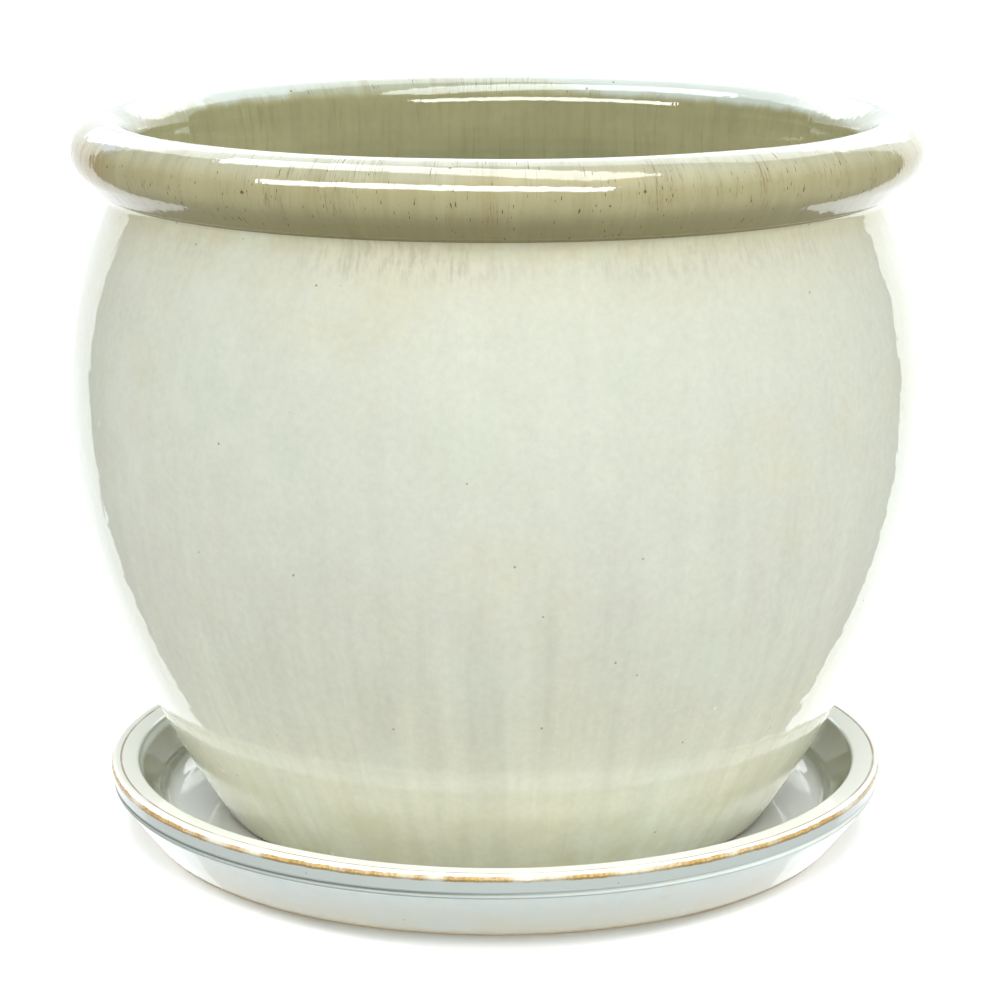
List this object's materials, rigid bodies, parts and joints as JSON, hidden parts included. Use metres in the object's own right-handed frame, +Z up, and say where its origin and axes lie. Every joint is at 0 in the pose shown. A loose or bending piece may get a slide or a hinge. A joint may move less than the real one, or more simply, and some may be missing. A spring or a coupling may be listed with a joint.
{
  "type": "bonsai pot with saucer",
  "caption": "Round glazed ceramic pot with a swelling belly and a thick rolled rim, standing loose in a matching drip saucer; mesh and wire clip over the drain hole.",
  "frame": {"origin": "centre of the saucer's foot, on the ground", "axes": "+Z up along the axis of the pot; the view that the pot is shown from looks along +Y"},
  "size_m": [0.3099, 0.31, 0.263],
  "materials": {
    "pot_glaze": "gloss celadon glaze, iron streaks on the rim",
    "saucer_glaze": "gloss pale green glaze, breaking brown on the lip's edge",
    "mesh_plastic": "moulded, matte",
    "clip_wire": "drawn wire, satin"
  },
  "bodies": {
    "saucer": {"saucer": "saucer_glaze"},
    "pot": {"pot": "pot_glaze", "drain_screen": "mesh_plastic", "screen_clip": "clip_wire"}
  },
  "joints": [
    {"name": "pot_lift", "type": "slide", "parent": "saucer", "child": "pot", "axis": [0, 0, 1], "range_m": [0, 0.12]}
  ]
}
